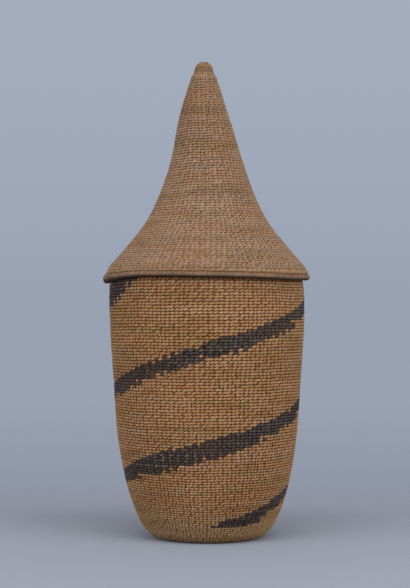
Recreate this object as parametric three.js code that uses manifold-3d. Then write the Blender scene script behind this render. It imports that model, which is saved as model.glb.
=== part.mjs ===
// Conical lidded basket: a round twined basket with a tall flared lid that lifts straight off.
// Millimetres, +Z up. The origin is on the floor in the middle of the standing face, and the front is -Y.
import * as THREE from 'three';
import { mergeVertices } from 'three/addons/utils/BufferGeometryUtils.js';
import Module from 'manifold-3d';

const wasm = await Module();
wasm.setup();

// Gaps
const seatGap = 0.3; // between pieces that are bound or woven against each other
const restGap = 0.3; // between the lid's underside and the mouth that it rests on
const lidClearance = 0.5; // round the neck, inside the lid's rim roll

// Basket body
const footRadius = 29.4; // outer edge of the standing face
const footFaceWidth = 3;
const turnRowWidth = 4.9; // outside width of the heavy row that turns the stakes up, from the standing face
const bodyRadius = 58.8; // widest, at the shoulder
const shoulderHeight = 134;
const neckDrawIn = 0.9; // the neck under the lid is this much narrower
const mouthHeight = 157.9; // middle of the mouth's rim roll
const wallThickness = 3;
const waistDip = 1.2; // the handmade wall draws in a little here
const waistHeight = 94;
const waistSpread = 12;

// Base
const discThickness = 2.4;
const discLift = 0.5; // underside of the disc's edge above the floor
const discRise = 1.3; // and how much higher the middle is
const startRadius = 4.6; // the knot of crossed stakes that the base starts from
const startThickness = 3.2;

// Dark spirals of dyed weft, measured up along the wall from the standing face
const bandThickness = 0.9;
const bandFirstRow = 15.1; // no dark stitch lies below this
const bandTopMargin = 1; // plain weave between a spiral's upper end and the mouth
const bandSwayHeight = 2.2; // the spirals climb unevenly round the basket
const bluntEndHeight = 0.8; // of a spiral where it starts and ends
const frontBandHeight = 11; // middle of the spiral where its line crosses the front
const frontBandRiseHeight = 111; // climb in a full turn
const frontBandWidth = 8.4;
const backBandHeight = 65;
const backBandRiseHeight = 115;
const backBandWidth = 10.2;

// Rim rolls: a hoop, the strip bound over it, and the lip of weave that the strip holds
const mouthHoopRadius = 0.95;
const lidHoopRadius = 0.9;
const stripThickness = 0.65;
const lipThickness = 1.2;

// Lid
const lidThickness = 2.4;
const lidHeight = 119.1; // from the middle of its rim roll to the top of the weave
const lidTopRadius = 8.2;
const lidFlare = 54; // slope of the weave where it leaves the rim, in degrees
const lidWallOffset = 0.9; // the weave stands this far outside the middle of its roll
const leanWidth = 2.1; // the tip leans to the left by this much
const leanStartHeight = 60; // above the rim roll, where the lean begins to build up
const leanEndHeight = 96; // and where it is full
// Share of the lid's height, and of its width between top and rim, along the flared outline
const lidShape = [
  [0.125, 0.772],
  [0.25, 0.555],
  [0.375, 0.405],
  [0.5, 0.304],
  [0.62, 0.224],
  [0.75, 0.162],
  [0.875, 0.088],
  [1, 0],
];

// Tip of the lid
const tipRadius = 7.3;
const tipHeight = 9.7; // from the top of the weave to the very top
const tipPlugLength = 7;
const lashingRadius = 0.8;
const neckHeight = 2.2; // of the waist in the knot that the lashing lies in

// Facets
const around = 48; // round the wide pieces
const aroundTip = 24; // round the knots and the lashing
const wallSteps = 15; // up the outside of the wall
const wallInsideSteps = 12;
const footCrowding = 1.4; // how much closer those steps lie near the foot
const turnRowSteps = 3;
const lidSteps = 13;
const rollSteps = 9; // round the outside of a rim roll
const rollInsideSteps = 6;
const rodSides = 6;
const domeSteps = 5;
const bandCells = 3; // across a spiral
const pathSamples = 80;
const seatSamples = 400;
const fullTurn = 2 * Math.PI;
const facet = fullTurn / around;

const spirals = [
  {
    name: 'dark_spiral_front',
    atFront: frontBandHeight,
    rise: frontBandRiseHeight,
    width: frontBandWidth,
  },
  {
    name: 'dark_spiral_back',
    atFront: backBandHeight,
    rise: backBandRiseHeight,
    width: backBandWidth,
  },
];

const neckRadius = bodyRadius - neckDrawIn;
const mouthRollRadius = mouthHoopRadius + seatGap + stripThickness;
const lidRollRadius = lidHoopRadius + seatGap + stripThickness;
const mouthRim = {
  middle: point(neckRadius - mouthRollRadius, mouthHeight),
  hoop: mouthHoopRadius,
  roll: mouthRollRadius,
};
const lidRim = {
  middle: point(neckRadius + lidClearance + lidRollRadius, 0),
  hoop: lidHoopRadius,
  roll: lidRollRadius,
};
const wallTop = mouthHeight - mouthRollRadius - seatGap;

function point(radius, height) {
  return new THREE.Vector2(radius, height);
}

function material(colour, roughness) {
  return new THREE.MeshStandardMaterial({ color: colour, roughness, metalness: 0 });
}

const plainWeft = material(0x80603f, 0.85);
const lidWeft = material(0x866b53, 0.85);
const darkWeft = material(0x42372f, 0.8);
const bindingStrip = material(0x84705c, 0.75);
const hoopWood = material(0x8a6a45, 0.8);
const stakeFibre = material(0x7a5f42, 0.85);

// Turns a closed outline of radius and height about the Z axis.
function turned(outline, facets = around) {
  const geometry = new THREE.LatheGeometry(outline, facets);
  geometry.rotateX(Math.PI / 2);
  return geometry;
}

function namedMesh(name, geometry, meshMaterial) {
  const mesh = new THREE.Mesh(geometry, meshMaterial);
  mesh.name = name;
  return mesh;
}

// The body's outer radius at a height: a quarter ellipse up to the shoulder and a parabola above it.
function bodyRadiusAt(height) {
  if (height > shoulderHeight) {
    const above = (height - shoulderHeight) / (wallTop - shoulderHeight);
    return bodyRadius - (bodyRadius - neckRadius) * above ** 2;
  }
  const below = Math.min(1, (shoulderHeight - height) / shoulderHeight);
  const dip = waistDip * Math.exp(-(((height - waistHeight) / waistSpread) ** 2));
  return footRadius + (bodyRadius - footRadius) * Math.sqrt(1 - below ** 2) - dip;
}

// The body's outer outline, with points closer near the foot, where it curves most.
function bodyPath() {
  const points = [];
  for (let i = 0; i <= pathSamples; i += 1) {
    const height = wallTop * (i / pathSamples) ** 2;
    points.push(point(bodyRadiusAt(height), height));
  }
  return new THREE.SplineCurve(points);
}

const wallPath = bodyPath();
const wallPathLength = wallPath.getLength();

// A point of the wall at a distance up along its outside and a depth under it.
function wallPoint(distance, depth) {
  const share = THREE.MathUtils.clamp(distance / wallPathLength, 0, 1);
  const here = wallPath.getPointAt(share);
  const along = wallPath.getTangentAt(share);
  return point(here.x - along.y * depth, here.y + along.x * depth);
}

function wallStretch(from, to, steps, depth) {
  const points = [];
  for (let i = 0; i <= steps; i += 1) {
    points.push(wallPoint(from + (to - from) * (i / steps) ** footCrowding, depth));
  }
  return points;
}

// An outline moved inwards by a thickness.
function inset(outline, thickness) {
  return outline.map((here, i) => {
    const before = outline[Math.max(i - 1, 0)];
    const after = outline[Math.min(i + 1, outline.length - 1)];
    const along = after.clone().sub(before).normalize();
    return point(here.x - along.y * thickness, here.y + along.x * thickness);
  });
}

// Four corners of the thin lip that runs from a wall's end into the slot of its rim roll.
function lipInto(rim, outerEnd, innerEnd) {
  const middle = outerEnd.clone().add(innerEnd).multiplyScalar(0.5);
  const outwards = outerEnd.clone().sub(innerEnd).setLength(lipThickness / 2);
  const slot = middle.clone().sub(rim.middle).normalize();
  const side = point(-slot.y, slot.x).multiplyScalar(lipThickness / 2);
  if (side.dot(outwards) < 0) side.negate();
  const end = rim.middle.clone().addScaledVector(slot, rim.hoop + seatGap);
  const corners = [
    middle.clone().add(outwards),
    end.clone().add(side),
    end.clone().sub(side),
    middle.clone().sub(outwards),
  ];
  return { corners, slot };
}

// The strip bound round a hoop: a tube with a slot on the side where the weave goes in.
function bindingOutline(rim, slot) {
  const slotHalf = lipThickness / 2 + seatGap;
  const inside = rim.hoop + seatGap;
  const slotAngle = Math.atan2(slot.y, slot.x);
  const outerHalf = Math.asin(slotHalf / rim.roll);
  const innerHalf = Math.asin(slotHalf / inside);
  const farSide = slotAngle + fullTurn;
  const outer = arc(rim.middle, rim.roll, slotAngle + outerHalf, farSide - outerHalf, rollSteps);
  const inner = arc(rim.middle, inside, farSide - innerHalf, slotAngle + innerHalf, rollInsideSteps);
  return closed([...outer, ...inner]);
}

// The round section of a rod, hoop or lashing.
function rodOutline(middle, radius) {
  return closed(arc(middle, radius, 0, fullTurn, rodSides).slice(0, -1));
}

function arc(middle, radius, fromAngle, toAngle, steps) {
  const points = [];
  for (let i = 0; i <= steps; i += 1) {
    const angle = fromAngle + ((toAngle - fromAngle) * i) / steps;
    points.push(point(middle.x + radius * Math.cos(angle), middle.y + radius * Math.sin(angle)));
  }
  return points;
}

function closed(points) {
  return [...points, points[0].clone()];
}

// The same point of the wall, turned to an angle from the front.
function onWall(distance, angle, depth) {
  const place = wallPoint(distance, depth);
  return [place.x * Math.sin(angle), -place.x * Math.cos(angle), place.y];
}

// Lower and upper edge of a spiral at an angle, both kept between its first row and the mouth.
function bandEdges(spiral, angle) {
  const turns = angle / fullTurn;
  const middle = spiral.atFront + spiral.rise * turns - bandSwayHeight * Math.sin(angle);
  const lowest = bandFirstRow;
  const highest = wallPathLength - bandTopMargin;
  return [Math.max(middle - spiral.width / 2, lowest), Math.min(middle + spiral.width / 2, highest)];
}

// The facets round the basket on which a spiral is at least as high as its blunt end.
function bandSteps(spiral) {
  const steps = [];
  for (let step = -around; step <= 2 * around; step += 1) {
    const [lower, upper] = bandEdges(spiral, step * facet);
    if (upper - lower >= bluntEndHeight) steps.push(step);
  }
  return steps;
}

// A strip of the wall that follows a spiral, between two depths under the outside. The strip is grown
// on its edges and ends for the groove that it lies in.
function spiralStrip(spiral, outerDepth, innerDepth, growth) {
  const steps = bandSteps(spiral);
  const ring = 2 * (bandCells + 1);
  const positions = [];
  const indices = [];
  steps.forEach((step, i) => {
    const angle = step * facet;
    const isEnd = i === 0 || i === steps.length - 1;
    const endGrowth = isEnd ? (Math.sign(i - 0.5) * growth) / bodyRadius : 0;
    const [lower, upper] = bandEdges(spiral, angle);
    for (let k = 0; k < ring; k += 1) {
      const isOuter = k <= bandCells;
      const across = isOuter ? k / bandCells : (ring - 1 - k) / bandCells;
      const distance = THREE.MathUtils.lerp(lower - growth, upper + growth, across);
      positions.push(...onWall(distance, angle + endGrowth, isOuter ? outerDepth : innerDepth));
    }
  });
  for (let i = 0; i < steps.length - 1; i += 1) {
    for (let k = 0; k < ring; k += 1) {
      const a = i * ring + k;
      const b = i * ring + ((k + 1) % ring);
      indices.push(a, a + ring, b, b, a + ring, b + ring);
    }
  }
  const last = (steps.length - 1) * ring;
  for (let k = 0; k < bandCells; k += 1) {
    const outerA = k;
    const innerA = ring - 1 - k;
    indices.push(outerA, outerA + 1, innerA, outerA + 1, innerA - 1, innerA);
    indices.push(last + outerA, last + innerA, last + outerA + 1);
    indices.push(last + outerA + 1, last + innerA, last + innerA - 1);
  }
  const geometry = new THREE.BufferGeometry();
  geometry.setAttribute('position', new THREE.Float32BufferAttribute(positions, 3));
  geometry.setIndex(indices);
  return geometry;
}

function toSolid(geometry) {
  const bare = geometry.clone();
  bare.deleteAttribute('normal');
  bare.deleteAttribute('uv');
  const merged = mergeVertices(bare, 1e-4);
  const vertProperties = new Float32Array(merged.attributes.position.array);
  const triVerts = new Uint32Array(merged.index.array);
  return new wasm.Manifold(new wasm.Mesh({ numProp: 3, vertProperties, triVerts }));
}

function fromSolid(solid) {
  const { vertProperties, triVerts } = solid.getMesh();
  const geometry = new THREE.BufferGeometry();
  geometry.setAttribute('position', new THREE.Float32BufferAttribute(vertProperties, 3));
  geometry.setIndex(new THREE.Uint32BufferAttribute(triVerts, 1));
  geometry.computeVertexNormals();
  return geometry;
}

// The tip of the lid leans, so every lid piece is pushed sideways by its height above the rim roll.
function leaned(geometry) {
  const position = geometry.attributes.position;
  for (let i = 0; i < position.count; i += 1) {
    const lean = leanWidth * THREE.MathUtils.smoothstep(position.getZ(i), leanStartHeight, leanEndHeight);
    position.setX(i, position.getX(i) - lean);
  }
  geometry.computeVertexNormals();
  return geometry;
}

// Base

function baseTurnRow() {
  const outer = wallStretch(0, turnRowWidth, turnRowSteps, 0);
  const innerEnd = wallPoint(turnRowWidth, wallThickness);
  const innerRadius = footRadius - footFaceWidth;
  const top = discLift + discThickness;
  const rise = point((innerRadius + innerEnd.x) / 2, (top + innerEnd.y) / 2);
  return turned(closed([point(innerRadius, 0), ...outer, innerEnd, rise, point(innerRadius, top)]));
}

function baseDisc() {
  const outer = footRadius - footFaceWidth - seatGap;
  const inner = startRadius + seatGap;
  const middle = (outer + inner) / 2;
  const under = (radius) => discLift + discRise * (1 - (radius / outer) ** 2);
  const rings = [inner, middle, outer];
  const underside = rings.map((radius) => point(radius, under(radius)));
  const upper = rings.map((radius) => point(radius, under(radius) + discThickness)).reverse();
  return turned(closed([...underside, ...upper]));
}

function baseStart() {
  const underside = discLift + discRise - (startThickness - discThickness) / 2;
  const top = underside + startThickness;
  const edge = startThickness / 4;
  return turned([
    point(0, underside),
    point(startRadius - edge, underside),
    point(startRadius, underside + edge),
    point(startRadius, top - edge),
    point(startRadius - edge, top),
    point(0, top),
  ], aroundTip);
}

// Wall with the grooves that hold the dark spirals

const wallStart = turnRowWidth + seatGap;
const wallOutline = wallStretch(wallStart, wallPathLength, wallSteps, 0);
const wallInside = wallStretch(wallStart, wallPathLength, wallInsideSteps, wallThickness);
const mouthLip = lipInto(mouthRim, wallOutline.at(-1), wallInside.at(-1));

function wallWeave() {
  const inside = [...wallInside].reverse();
  let wall = toSolid(turned(closed([...wallOutline, ...mouthLip.corners, ...inside])));
  for (const spiral of spirals) {
    const groove = spiralStrip(spiral, -bandThickness, bandThickness + seatGap, seatGap);
    wall = wall.subtract(toSolid(groove));
  }
  return fromSolid(wall);
}

function darkSpiral(spiral) {
  const strip = spiralStrip(spiral, 0, bandThickness, 0);
  strip.computeVertexNormals();
  return strip;
}

// Lid, in its own frame with the middle of its rim roll at height 0

function lidOuterOutline() {
  const flare = THREE.MathUtils.degToRad(lidFlare);
  const up = point(-Math.cos(flare), Math.sin(flare));
  const out = point(Math.sin(flare), Math.cos(flare));
  const foot = lidRim.middle.clone();
  foot.addScaledVector(up, lidRollRadius + seatGap);
  foot.addScaledVector(out, lidWallOffset + lidThickness / 2);
  const points = [foot];
  for (const [heightShare, widthShare] of lidShape) {
    const radius = lidTopRadius + (foot.x - lidTopRadius) * widthShare;
    points.push(point(radius, foot.y + (lidHeight - foot.y) * heightShare));
  }
  return new THREE.SplineCurve(points).getSpacedPoints(lidSteps);
}

const lidOutline = lidOuterOutline();
const lidInside = inset(lidOutline, lidThickness);
const lidLip = lipInto(lidRim, lidOutline[0], lidInside[0]);

function lidWeave() {
  const inside = [...lidInside].reverse();
  const lip = [...lidLip.corners].reverse();
  return leaned(turned(closed([...lidOutline, ...inside, ...lip])));
}

// The knot that the lid's stakes start from: a plug in the top of the weave, a waist and a round head.
function tipKnot() {
  const plugRadius = lidInside.at(-1).x - seatGap;
  const waistRadius = tipRadius - 2 * lashingRadius;
  const waistFoot = lidHeight + seatGap;
  const headFoot = waistFoot + neckHeight;
  const headTop = lidHeight + tipHeight;
  const head = [];
  for (let i = 0; i < domeSteps; i += 1) {
    const angle = ((Math.PI / 2) * i) / domeSteps;
    head.push(point(tipRadius * Math.cos(angle), headFoot + (headTop - headFoot) * Math.sin(angle)));
  }
  return leaned(turned([
    point(0, lidHeight - tipPlugLength),
    point(plugRadius, lidHeight - tipPlugLength),
    point(plugRadius, waistFoot),
    point(waistRadius, waistFoot + seatGap),
    point(waistRadius, headFoot),
    ...head,
    point(0, headTop),
  ], aroundTip));
}

function tipLashing() {
  const middle = point(tipRadius - lashingRadius + seatGap, lidHeight + seatGap + neckHeight / 2);
  return leaned(turned(rodOutline(middle, lashingRadius), aroundTip));
}

// Height at which the lid's underside clears the mouth's rim roll by the rest gap.
function lidSeatHeight() {
  const reach = mouthRollRadius + restGap;
  let seat = -Infinity;
  for (const under of new THREE.Path(lidInside).getSpacedPoints(seatSamples)) {
    const side = under.x - mouthRim.middle.x;
    if (Math.abs(side) < reach) {
      seat = Math.max(seat, mouthRim.middle.y + Math.sqrt(reach ** 2 - side ** 2) - under.y);
    }
  }
  return seat;
}

const basket = new THREE.Group();
basket.add(namedMesh('base_start', baseStart(), stakeFibre));
basket.add(namedMesh('base_disc', baseDisc(), plainWeft));
basket.add(namedMesh('base_turn_row', baseTurnRow(), plainWeft));
basket.add(namedMesh('wall_weave', wallWeave(), plainWeft));
for (const spiral of spirals) basket.add(namedMesh(spiral.name, darkSpiral(spiral), darkWeft));
basket.add(namedMesh('mouth_hoop', turned(rodOutline(mouthRim.middle, mouthRim.hoop)), hoopWood));
basket.add(namedMesh('mouth_binding', turned(bindingOutline(mouthRim, mouthLip.slot)), bindingStrip));

const lid = new THREE.Group();
lid.position.z = lidSeatHeight();
lid.add(namedMesh('lid_weave', lidWeave(), lidWeft));
lid.add(namedMesh('lid_hoop', turned(rodOutline(lidRim.middle, lidRim.hoop)), hoopWood));
lid.add(namedMesh('lid_binding', turned(bindingOutline(lidRim, lidLip.slot)), bindingStrip));
lid.add(namedMesh('lid_tip_knot', tipKnot(), stakeFibre));
lid.add(namedMesh('lid_tip_lashing', tipLashing(), bindingStrip));

const liddedBasket = new THREE.Group();
liddedBasket.add(basket, lid);

export default liddedBasket;
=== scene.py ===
# Conical lidded basket: plain weft twined round upright stakes, two dark spirals and a loose flared lid.
import math

import bpy
import numpy as np
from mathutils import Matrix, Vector


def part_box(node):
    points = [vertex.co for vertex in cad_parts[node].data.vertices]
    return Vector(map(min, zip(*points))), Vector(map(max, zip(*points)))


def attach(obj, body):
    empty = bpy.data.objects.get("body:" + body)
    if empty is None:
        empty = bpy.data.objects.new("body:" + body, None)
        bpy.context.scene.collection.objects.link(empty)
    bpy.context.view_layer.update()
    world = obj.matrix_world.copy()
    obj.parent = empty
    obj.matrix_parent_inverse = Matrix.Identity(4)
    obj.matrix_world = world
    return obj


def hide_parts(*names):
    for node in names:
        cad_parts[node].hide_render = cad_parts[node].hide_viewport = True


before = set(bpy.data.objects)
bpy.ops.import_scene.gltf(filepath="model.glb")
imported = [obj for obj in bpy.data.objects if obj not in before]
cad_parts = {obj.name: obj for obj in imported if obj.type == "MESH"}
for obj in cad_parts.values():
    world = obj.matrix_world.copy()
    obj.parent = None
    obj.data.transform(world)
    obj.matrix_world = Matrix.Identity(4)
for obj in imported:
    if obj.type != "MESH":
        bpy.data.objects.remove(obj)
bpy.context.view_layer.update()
mm = 0.001
fullTurn = 2 * math.pi
print("frame loaded")


# Small helpers

def editMode(on):
    bpy.ops.object.mode_set(mode="EDIT" if on else "OBJECT")


def added(name, add, size=(1, 1, 1), **shape):  # a new piece, with its place, turn and size applied
    add(**shape)
    piece = bpy.context.object
    piece.name = name
    piece.data.name = name
    piece.scale = size
    bpy.ops.object.transform_apply()
    return piece


def addCircle(name, sides, radius, place=(0, 0, 0), turn=(0, math.pi / 2, 0), fill="NOTHING"):
    return added(name, bpy.ops.mesh.primitive_circle_add, vertices=sides, radius=radius, fill_type=fill,
                 location=place, rotation=turn)


def extrudeBy(along, size=None, centre=None):  # with a size, the new end is resized about that centre
    bpy.ops.mesh.extrude_region_move(TRANSFORM_OT_translate={"value": along})
    if size:
        bpy.ops.transform.resize(value=size, center_override=centre)


def extrudeTimes(count, along):  # a new piece, which is still selected
    editMode(True)
    for _ in range(count):
        extrudeBy(along)
    editMode(False)


def cutAt(places, normal, **options):  # the active piece, by planes through these places
    editMode(True)
    for place in places:
        bpy.ops.mesh.select_all(action="SELECT")
        bpy.ops.mesh.bisect(plane_co=place, plane_no=normal, **options)
    editMode(False)


def choose(pieces):  # and make the first one active
    bpy.ops.object.select_all(action="DESELECT")
    for piece in pieces:
        piece.select_set(True)
    bpy.context.view_layer.objects.active = pieces[0]


def applyAll(piece):
    choose([piece])
    for modifier in list(piece.modifiers):
        bpy.ops.object.modifier_apply(modifier=modifier.name)
    bpy.ops.object.transform_apply()


def joinAll(parts):
    choose(parts)
    if len(parts) > 1:
        bpy.ops.object.join()
    return parts[0]


def faceOutward(weldWithin=0):  # the active piece, after its points that lie this close are welded
    editMode(True)
    bpy.ops.mesh.select_all(action="SELECT")
    if weldWithin:
        bpy.ops.mesh.remove_doubles(threshold=weldWithin)
    bpy.ops.mesh.normals_make_consistent(inside=False)
    editMode(False)


def coordinates(mesh):
    co = np.zeros(len(mesh.vertices) * 3)
    mesh.vertices.foreach_get("co", co)
    return co.reshape(-1, 3)


def setCoordinates(mesh, co):
    mesh.vertices.foreach_set("co", np.asarray(co, np.float32).ravel())
    mesh.update()


def setPointValues(mesh, key, values):
    point = mesh.attributes.new(key, "FLOAT", "POINT")
    point.data.foreach_set("value", np.asarray(values, np.float32).ravel())


def setUv(mesh, name, values):
    mesh.uv_layers.new(name=name).uv.foreach_set("vector", np.asarray(values, np.float32).ravel())


def roundAxis(radius, turn, height, shift=0):  # turn is counted from the front
    return np.stack([shift + radius * np.sin(turn), -radius * np.cos(turn), height], -1)


def smoothstep(value, low, high):
    share = np.clip((value - low) / (high - low), 0, 1)
    return share * share * (3 - 2 * share)


def eased(value, places, levels):  # between the places of a table, level at each of them
    places, levels = np.asarray(places), np.asarray(levels)
    i = np.clip(np.searchsorted(places, value) - 1, 0, len(places) - 2)
    return levels[i] + (levels[i + 1] - levels[i]) * smoothstep(value, places[i], places[i + 1])


def finishPiece(piece, body, material, node):
    piece.data.shade_smooth()
    piece.data.materials.clear()
    piece.data.materials.append(material)
    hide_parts(node)
    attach(piece, body)


def aimedAt(aim, place):  # the turn that points a camera or a lamp there
    return (Vector(aim) - Vector(place)).to_track_quat("-Z", "Y").to_euler()


# Camera, level with the basket's middle, as in the photograph
cameraLook = {
    "distance": 0.95,
    "side": -0.0012,
    "height": 0.137,
    "aimHeight": 0.1456,
    "lens": 96.5,
    "sensor": 36,  # mm along its long side
}


def makeCamera():
    look = cameraLook
    place = (look["side"], -look["distance"], look["height"])
    bpy.ops.object.camera_add(location=place)
    camera = bpy.context.object
    camera.name = "camera"
    camera.rotation_euler = aimedAt((look["side"], 0, look["aimHeight"]), place)
    camera.data.lens = look["lens"]
    camera.data.sensor_width = look["sensor"]
    camera.data.clip_end = 50
    bpy.context.scene.camera = camera


makeCamera()


# Materials

def paint(red, green, blue):  # a colour as seen on screen, 0 to 255, as the linear values of a shader
    def linear(value):
        value /= 255
        return value / 12.92 if value <= 0.04045 else ((value + 0.055) / 1.055) ** 2.4
    return (linear(red), linear(green), linear(blue), 1)


def grey(value):
    return (value, value, value, 1)


class Nodes:
    # The nodes of a material or a world, and short ways to add to them
    def __init__(self, owner):
        owner.use_nodes = True
        self.nodes = owner.node_tree.nodes
        self.links = owner.node_tree.links

    def feed(self, entry, value):  # with a number, a colour or another node's output
        if isinstance(value, bpy.types.NodeSocket):
            self.links.new(value, entry)
        else:
            entry.default_value = value

    def add(self, kind, inputs=None, **settings):
        node = self.nodes.new(kind)
        for key, value in settings.items():
            setattr(node, key, value)
        for key, value in (inputs or {}).items():
            self.feed(node.inputs[key], value)
        return node

    def place(self):
        return self.add("ShaderNodeTexCoord").outputs["Object"]

    def uv(self, name):
        return self.add("ShaderNodeUVMap", uv_map=name).outputs["UV"]

    def attribute(self, name):
        return self.add("ShaderNodeAttribute", attribute_name=name).outputs["Fac"]

    def axis(self, source, name):
        return self.add("ShaderNodeSeparateXYZ", {0: source}).outputs[name]

    def mapped(self, source, scale):
        return self.add("ShaderNodeMapping", {"Vector": source, "Scale": scale}).outputs["Vector"]

    def noise(self, vector, scale, detail=3, roughness=0.5):
        inputs = {"Vector": vector, "Scale": scale, "Detail": detail, "Roughness": roughness}
        return self.add("ShaderNodeTexNoise", inputs).outputs["Fac"]

    def ramp(self, value, *stops):
        node = self.add("ShaderNodeValToRGB", {"Fac": value})
        elements = node.color_ramp.elements
        while len(elements) < len(stops):
            elements.new(0.5)
        for element, (place, colour) in zip(elements, stops):
            element.position = place
            element.color = colour
        return node.outputs["Color"]

    def span(self, value, low, high, newLow, newHigh):
        inputs = {"Value": value, "From Min": low, "From Max": high, "To Min": newLow, "To Max": newHigh}
        return self.add("ShaderNodeMapRange", inputs).outputs["Result"]

    def mix(self, factor, first, second, blend="MIX"):
        inputs = {0: factor, 6: first, 7: second}
        return self.add("ShaderNodeMix", inputs, data_type="RGBA", blend_type=blend).outputs[2]

    def either(self, first, second):
        return self.add("ShaderNodeMath", {0: first, 1: second}, operation="MAXIMUM").outputs[0]

    def show(self, output, share, first, second):
        blend = self.add("ShaderNodeMixShader", {0: share, 1: first, 2: second})
        self.feed(self.nodes[output].inputs["Surface"], blend.outputs[0])


class Finish(Nodes):
    # A material for a dry, dull fibre
    def __init__(self, name, roughness):
        self.material = bpy.data.materials.new(name)
        super().__init__(self.material)
        self.shader = self.nodes["Principled BSDF"]
        self.shader.inputs["Roughness"].default_value = roughness
        self.shader.inputs["Specular IOR Level"].default_value = 0.25

    def dressed(self, colour, relief, strength, depth):
        bump = self.add("ShaderNodeBump", {"Height": relief, "Strength": strength, "Distance": depth})
        self.feed(self.shader.inputs["Base Color"], colour)
        self.feed(self.shader.inputs["Normal"], bump.outputs["Normal"])
        return self.material


# Weft: each length of fibre has its own tone, with streaks along it, in rows that lean to one tint or
# another; painted shade darkens it in the hollows and under the rim, and random patches darken it too
weftLook = {
    "streakStretch": (0.9, 7, 1),
    "streakNoise": (3.2, 4, 0.65),  # scale, detail and roughness
    "streakStops": (0.28, 0.72),
    "tintSqueeze": (7, 8, 9),  # tints lie in arcs, one table entry to a tint
    "tintScale": (22, 31, 40),
    "tintSpan": (0.5, 0.66),
    "patchScale": 14,
    "patchSpan": (0.45, 0.75),
    "hollowShadeSpan": (0.15, 0.8),
    "dustHeights": (2 * mm, 26 * mm),
    "dustShare": 0.24,
    "relief": (0.5, 0.12 * mm),
}


def weftFinish(name, tones, shadeAndStain, hollowShadeShare, tints, patchiness, roughness=0.8,
               streakRange=(0.62, 1.16), dust=None):
    look = weftLook
    finish = Finish(name, roughness)
    place = finish.place()
    shadeAndStain = paint(*shadeAndStain)
    colour = finish.ramp(finish.attribute("tone"), *[(stop, paint(*tone)) for stop, tone in tones])
    streaks = finish.noise(finish.mapped(finish.uv("strand"), look["streakStretch"]), *look["streakNoise"])
    stops = [(stop, grey(shade)) for stop, shade in zip(look["streakStops"], streakRange)]
    colour = finish.mix(1.0, colour, finish.ramp(streaks, *stops), "MULTIPLY")
    for tint, squeeze, scale in zip(tints, look["tintSqueeze"], look["tintScale"]):
        arcs = finish.noise(finish.mapped(place, (1, 1, squeeze)), scale, 2)
        colour = finish.mix(finish.span(arcs, *look["tintSpan"], 0, 1), colour, paint(*tint), "MULTIPLY")
    patches = finish.noise(place, look["patchScale"], 2)
    colour = finish.mix(finish.span(patches, *look["patchSpan"], 0, patchiness), colour, shadeAndStain)
    # painted shade under the rim and in the lid's groove above its roll; also darker near the lid's tip and
    # over the floor
    colour = finish.mix(finish.attribute("shadeAndSoil"), colour, shadeAndStain)
    # painted shade: the weft darkens towards its shade colour where the crest value is low, in the dips
    # between stakes and at the edges of each row
    hollowShadeMix = finish.span(finish.attribute("crest"), *look["hollowShadeSpan"], hollowShadeShare, 0)
    colour = finish.mix(hollowShadeMix, colour, shadeAndStain)
    if dust:  # near the foot
        share = finish.span(finish.axis(place, "Z"), *look["dustHeights"], look["dustShare"], 0)
        colour = finish.mix(share, colour, paint(*dust))
    return finish.dressed(colour, streaks, *look["relief"])


plainWeft = weftFinish(
    "plain weft",
    tones=[(0.1, (145, 116, 87)), (0.4, (161, 128, 93)), (0.6, (167, 131, 93)), (0.9, (174, 145, 118))],
    shadeAndStain=(110, 59, 9),
    hollowShadeShare=0.9,
    tints=[(228, 232, 214), (255, 243, 226), (247, 234, 232)],
    patchiness=0.14,
    dust=(145, 130, 98),
)
lidWeft = weftFinish(
    "lid weft",
    tones=[(0.1, (133, 110, 89)), (0.4, (146, 118, 95)), (0.6, (151, 121, 94)), (0.9, (160, 132, 110))],
    shadeAndStain=(100, 64, 34),
    hollowShadeShare=0.3,
    tints=[(236, 237, 226), (255, 246, 232), (247, 237, 234)],
    patchiness=0.12,
    streakRange=(0.77, 1.07),
)
darkWeft = weftFinish(
    "dark weft",
    tones=[(0.1, (56, 48, 46)), (0.5, (77, 65, 60)), (0.8, (98, 84, 78)), (0.98, (136, 118, 105))],
    shadeAndStain=(24, 16, 12),
    hollowShadeShare=0.95,
    tints=[(232, 243, 222), (242, 224, 232), (255, 248, 236)],
    patchiness=0.2,
    roughness=0.65,
)

# Stakes, strips and rods: grain along them and broad uneven shading
fibreLook = {
    "grainNoise": (1, 4, 0.6),
    "broadNoise": (60, 2),
    "stops": (0.3, 0.7),
    "broadShades": (grey(0.8), grey(1.12)),
    "relief": (0.4, 0.15 * mm),
}


def fibreFinish(name, pale, dark, grainScale, roughness, mapName=None, shadeAndSoilColour=None):
    look = fibreLook
    finish = Finish(name, roughness)
    place = finish.place()
    grain = finish.mapped(finish.uv(mapName) if mapName else place, grainScale)
    grain = finish.noise(grain, *look["grainNoise"])
    colour = finish.ramp(grain, *zip(look["stops"], (dark, pale)))
    shades = finish.ramp(finish.noise(place, *look["broadNoise"]), *zip(look["stops"], look["broadShades"]))
    colour = finish.mix(1.0, colour, shades, "MULTIPLY")
    if shadeAndSoilColour:
        colour = finish.mix(finish.attribute("shadeAndSoil"), colour, shadeAndSoilColour)
    return finish.dressed(colour, grain, *look["relief"])


# darker and warmer than the weft: painted shade in the gaps between stitches, where the stakes show
shadedStakeFibre = fibreFinish("shaded stake fibre", paint(138, 92, 48), paint(90, 56, 26), (900, 900, 120), 0.85)
# their dark second colour shows where painted shade and soil are: in the stakes' valleys, under the rim rolls
# and at the dark joints
knotFibre = fibreFinish("knot fibre", paint(156, 126, 100), paint(112, 84, 62), (900, 900, 90), 0.8,
                        shadeAndSoilColour=paint(62, 40, 26))
bindingStrip = fibreFinish("binding strip", paint(144, 115, 92), paint(87, 64, 46), (0.8, 2.6, 1), 0.75,
                           "strip", paint(40, 24, 14))
hoopWood = fibreFinish("hoop wood", paint(165, 128, 88), paint(120, 84, 52), (300, 300, 900), 0.7)
print("materials made")


# Outlines of the wall, floor and lid as round skins: a distance along the skin, a height above it, an angle

def straight(height, angle=0):  # neither leaning nor warped
    return 0


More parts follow.
